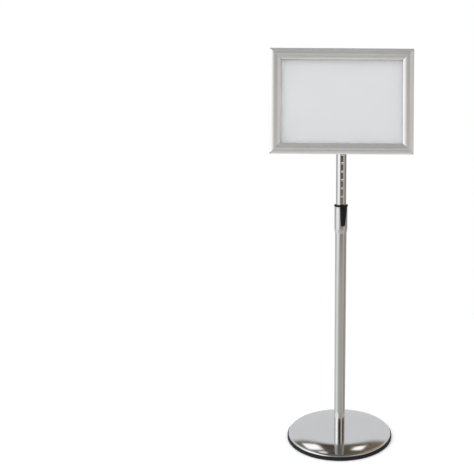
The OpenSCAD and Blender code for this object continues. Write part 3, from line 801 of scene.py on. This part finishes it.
def make_floor():
    """Pale floor, seen by the camera only; its far edge fades into the white background."""
    bm = bmesh.new()
    bmesh.ops.create_circle(bm, cap_ends=True, radius=4, segments=96)
    mesh = bpy.data.meshes.new("floor")
    bm.to_mesh(mesh)
    bm.free()
    floor = bpy.data.objects.new("floor", mesh)
    bpy.context.scene.collection.objects.link(floor)
    s = Shader("floor", (0.93, 0.93, 0.93), 0.9, specular=0.1)
    s.rough(s.ranged(s.noise(3, 2, 0.5), 0.3, 0.7, 0.85, 0.95))
    reach = s.tree.nodes.new("ShaderNodeVectorMath")
    reach.operation = "LENGTH"
    s.link(s.coords.outputs["Object"], reach.inputs[0])
    s.link(s.ranged(reach.outputs["Value"], 0.35, 1.3, 1, 0), s.bsdf.inputs["Alpha"])
    mesh.materials.append(s.material)
    floor.visible_glossy = False


def ramp(tree, value, stops):
    """Smooth run of colours over 0..1."""
    node = tree.nodes.new("ShaderNodeValToRGB")
    node.color_ramp.interpolation = "EASE"
    elements = node.color_ramp.elements
    while len(elements) > 1:
        elements.remove(elements[-1])
    for i, (position, color) in enumerate(stops):
        element = elements[0] if i == 0 else elements.new(position)
        element.position = position
        element.color = (*color, 1)
    tree.links.new(value, node.inputs["Fac"])
    return node.outputs["Color"]


def world_math(tree, operation, a, b=None):
    """One math node between numbers or sockets."""
    node = tree.nodes.new("ShaderNodeMath")
    node.operation = operation
    for socket, value in zip(node.inputs, (a, b)):
        if value is None:
            continue
        if isinstance(value, (int, float)):
            socket.default_value = value
        else:
            tree.links.new(value, socket)
    return node.outputs["Value"]


def make_world():
    """A studio seen in the reflections, and plain white to the camera and to diffuse light."""
    world = bpy.data.worlds.new("studio")
    bpy.context.scene.world = world
    world.use_nodes = True
    tree = world.node_tree
    background = tree.nodes["Background"]
    coords = tree.nodes.new("ShaderNodeTexCoord")
    split = tree.nodes.new("ShaderNodeSeparateXYZ")
    tree.links.new(coords.outputs["Generated"], split.inputs["Vector"])
    x, y, z = (split.outputs[k] for k in range(3))
    # Degrees round from the camera's side, positive to the right, as 0..1 from -180 to 180
    turn = world_math(tree, "ADD", world_math(tree, "DIVIDE", world_math(
        tree, "ARCTAN2", x, world_math(tree, "MULTIPLY", y, -1)), 2 * math.pi), 0.5)
    height = world_math(tree, "MULTIPLY", world_math(tree, "ARCSINE", z), 180 / math.pi)

    def around(*stops):
        return ramp(tree, turn, [(degrees / 360 + 0.5, color) for degrees, color in stops])

    def step(value, low, high):
        node = tree.nodes.new("ShaderNodeMapRange")
        node.interpolation_type = "SMOOTHSTEP"
        node.inputs["From Min"].default_value = low
        node.inputs["From Max"].default_value = high
        tree.links.new(value, node.inputs["Value"])
        return node.outputs["Result"]

    def blend(low, high, factor):
        node = tree.nodes.new("ShaderNodeMix")
        node.data_type = "RGBA"
        tree.links.new(factor, node.inputs["Factor"])
        for socket, value in ((node.inputs[6], low), (node.inputs[7], high)):
            if isinstance(value, tuple):
                socket.default_value = (*value, 1)
            else:
                tree.links.new(value, socket)
        return node.outputs[2]

    def patch(turn_0, turn_1, height_0, height_1, soft):
        """1 inside a window of directions, in degrees, with soft edges."""
        inside = None
        for value, low, high, scale in ((turn, turn_0, turn_1, 1 / 360), (height, height_0, height_1, 1)):
            shift = 0.5 if scale != 1 else 0
            rise = step(value, (low - soft) * scale + shift, (low + soft) * scale + shift)
            fall = step(value, (high - soft) * scale + shift, (high + soft) * scale + shift)
            band = world_math(tree, "SUBTRACT", rise, fall)
            inside = band if inside is None else world_math(tree, "MULTIPLY", inside, band)
        return inside

    white, warm = (1.15, 1.16, 1.18), (0.50, 0.46, 0.40)
    brown, dark = (0.10, 0.085, 0.065), (0.06, 0.05, 0.04)
    cloth, bright = (0.69, 0.70, 0.71), (1.25, 1.26, 1.28)
    # Looking down: the floor's pale sweep, brightest behind and on the left
    sweep = around((-180, (0.9, 0.9, 0.9)), (-120, (0.62, 0.65, 0.68)), (-96, (0.60, 0.64, 0.67)),
                   (-84, (0.92, 0.94, 0.95)), (-52, (0.80, 0.80, 0.80)), (-30, (0.50, 0.49, 0.47)),
                   (0, (0.44, 0.43, 0.40)), (34, (0.46, 0.44, 0.40)), (62, (0.50, 0.47, 0.42)),
                   (84, (0.30, 0.29, 0.27)), (120, (0.45, 0.45, 0.44)), (180, (0.9, 0.9, 0.9)))
    # Level: a large white light on the left, a weaker warm one on the right, dark in front, pale behind
    ring = around((-180, (0.9, 0.9, 0.9)), (-136, (0.58, 0.60, 0.62)), (-116, (0.36, 0.38, 0.40)),
                  (-94, (0.36, 0.38, 0.40)), (-76, white), (-34, white), (-18, (0.20, 0.18, 0.16)),
                  (0, brown), (12, dark), (34, brown), (50, warm), (70, warm), (90, (0.28, 0.26, 0.23)),
                  (118, (0.14, 0.13, 0.12)), (148, (0.75, 0.74, 0.72)), (180, (0.9, 0.9, 0.9)))
    # Above the horizon: a hung cloth behind, bright on the left, duller in front and on the right
    hung = around((-180, cloth), (-118, cloth), (-96, bright), (-30, bright), (-14, (0.58, 0.57, 0.55)),
                  (24, (0.56, 0.55, 0.52)), (44, (0.60, 0.57, 0.52)), (92, (0.66, 0.64, 0.60)),
                  (124, cloth), (180, cloth))
    # Higher: the left light's core, a narrow warm light on the right with dark either side, cloth behind
    lamps = around((-180, cloth), (-128, cloth), (-112, (0.52, 0.54, 0.56)), (-86, white),
                   (-60, (1.7, 1.7, 1.7)), (-40, (1.0, 1.0, 1.0)), (-24, (0.18, 0.16, 0.13)),
                   (0, (0.03, 0.025, 0.02)), (17, (0.06, 0.05, 0.04)), (34, (0.80, 0.70, 0.58)),
                   (42, (0.70, 0.61, 0.50)),
                   (58, (0.16, 0.13, 0.10)), (84, (0.05, 0.045, 0.04)), (106, (0.36, 0.34, 0.32)),
                   (126, cloth), (180, cloth))
    # Over the cloth's top edge: a dim room, darkest right behind
    room = around((-180, (0.07, 0.055, 0.04)), (-166, (0.16, 0.13, 0.10)), (-150, (0.30, 0.31, 0.32)),
                  (-128, (0.52, 0.56, 0.62)), (-70, (0.42, 0.44, 0.46)), (-30, (0.16, 0.15, 0.14)),
                  (40, (0.16, 0.15, 0.14)), (90, (0.34, 0.31, 0.28)), (145, (0.42, 0.36, 0.30)),
                  (163, (0.20, 0.14, 0.095)), (174, (0.13, 0.11, 0.07)), (180, (0.07, 0.055, 0.04)))
    seen = blend(blend(sweep, ring, step(height, -17, -4)), hung, step(height, 1, 10))
    seen = blend(seen, lamps, step(height, 17, 21))
    seen = blend(seen, room, step(height, 31.5, 36))
    # Three bright windows high up behind, light spots in the dark part of the cover's mirror image
    seen = blend(seen, (1.3, 1.3, 1.32), patch(-174, -167.5, 36.5, 42.5, 1.0))
    seen = blend(seen, (0.95, 0.97, 1.0), patch(-174.6, -171.2, 44.4, 47.5, 0.7))
    seen = blend(seen, (1.3, 1.29, 1.26), patch(171.5, 175.5, 38, 42.5, 0.9))
    # A dark ceiling overhead and, looking steeply down, a bright floor
    seen = blend(seen, (0.10, 0.10, 0.095), step(height, 58, 68))
    seen = blend((1.25, 1.25, 1.24), seen, step(height, -56, -34))
    path = tree.nodes.new("ShaderNodeLightPath")
    lit = blend((0.95, 0.96, 0.97), seen, path.outputs["Is Glossy Ray"])
    lit = blend(lit, (1, 1, 1), path.outputs["Is Camera Ray"])
    tree.links.new(lit, background.inputs["Color"])
    background.inputs["Strength"].default_value = 1


def area_light(name, where, size, power):
    """Soft light that lifts the matt surfaces; the reflections come from the world."""
    light = bpy.data.lights.new(name, "AREA")
    light.shape = "RECTANGLE"
    light.size, light.size_y = size
    light.energy = power
    holder = bpy.data.objects.new(name, light)
    holder.location = where
    aim = Vector((0, 0, 0.5)) - Vector(where)
    holder.rotation_mode = "QUATERNION"
    holder.rotation_quaternion = aim.to_track_quat("-Z", "Y")
    holder.visible_glossy = False
    bpy.context.scene.collection.objects.link(holder)


def make_camera():
    """Level with the frame's face: the camera looks down by the sign's own tilt."""
    data = bpy.data.cameras.new("camera")
    data.sensor_width = 36
    data.lens = 55.1
    data.shift_x = -0.219
    data.shift_y = 0.0006
    camera = bpy.data.objects.new("camera", data)
    pitch = math.asin(NORMAL.z)
    camera.location = (0, -1.713, 0.864)
    level = Matrix.Rotation(math.pi / 2 - pitch, 4, "X")
    camera.rotation_euler = (level @ Matrix.Rotation(math.radians(0.4), 4, "Z")).to_euler()
    bpy.context.scene.collection.objects.link(camera)
    bpy.context.scene.camera = camera


make_rim()
make_cover()
make_lower_tube()
make_collar()
make_bush()
make_upper_tube()
make_plug()
make_lever()
make_bracket()
make_hinge_bolt()
make_hub()
make_frame()
dress_kept_nodes()
make_floor()
make_world()
area_light("overhead", (-0.5, -0.4, 3.0), (2.4, 2.4), 26)
area_light("left_fill", (-2.4, -1.4, 1.6), (1.8, 1.8), 10)
make_camera()
bpy.context.scene.view_settings.view_transform = "Standard"
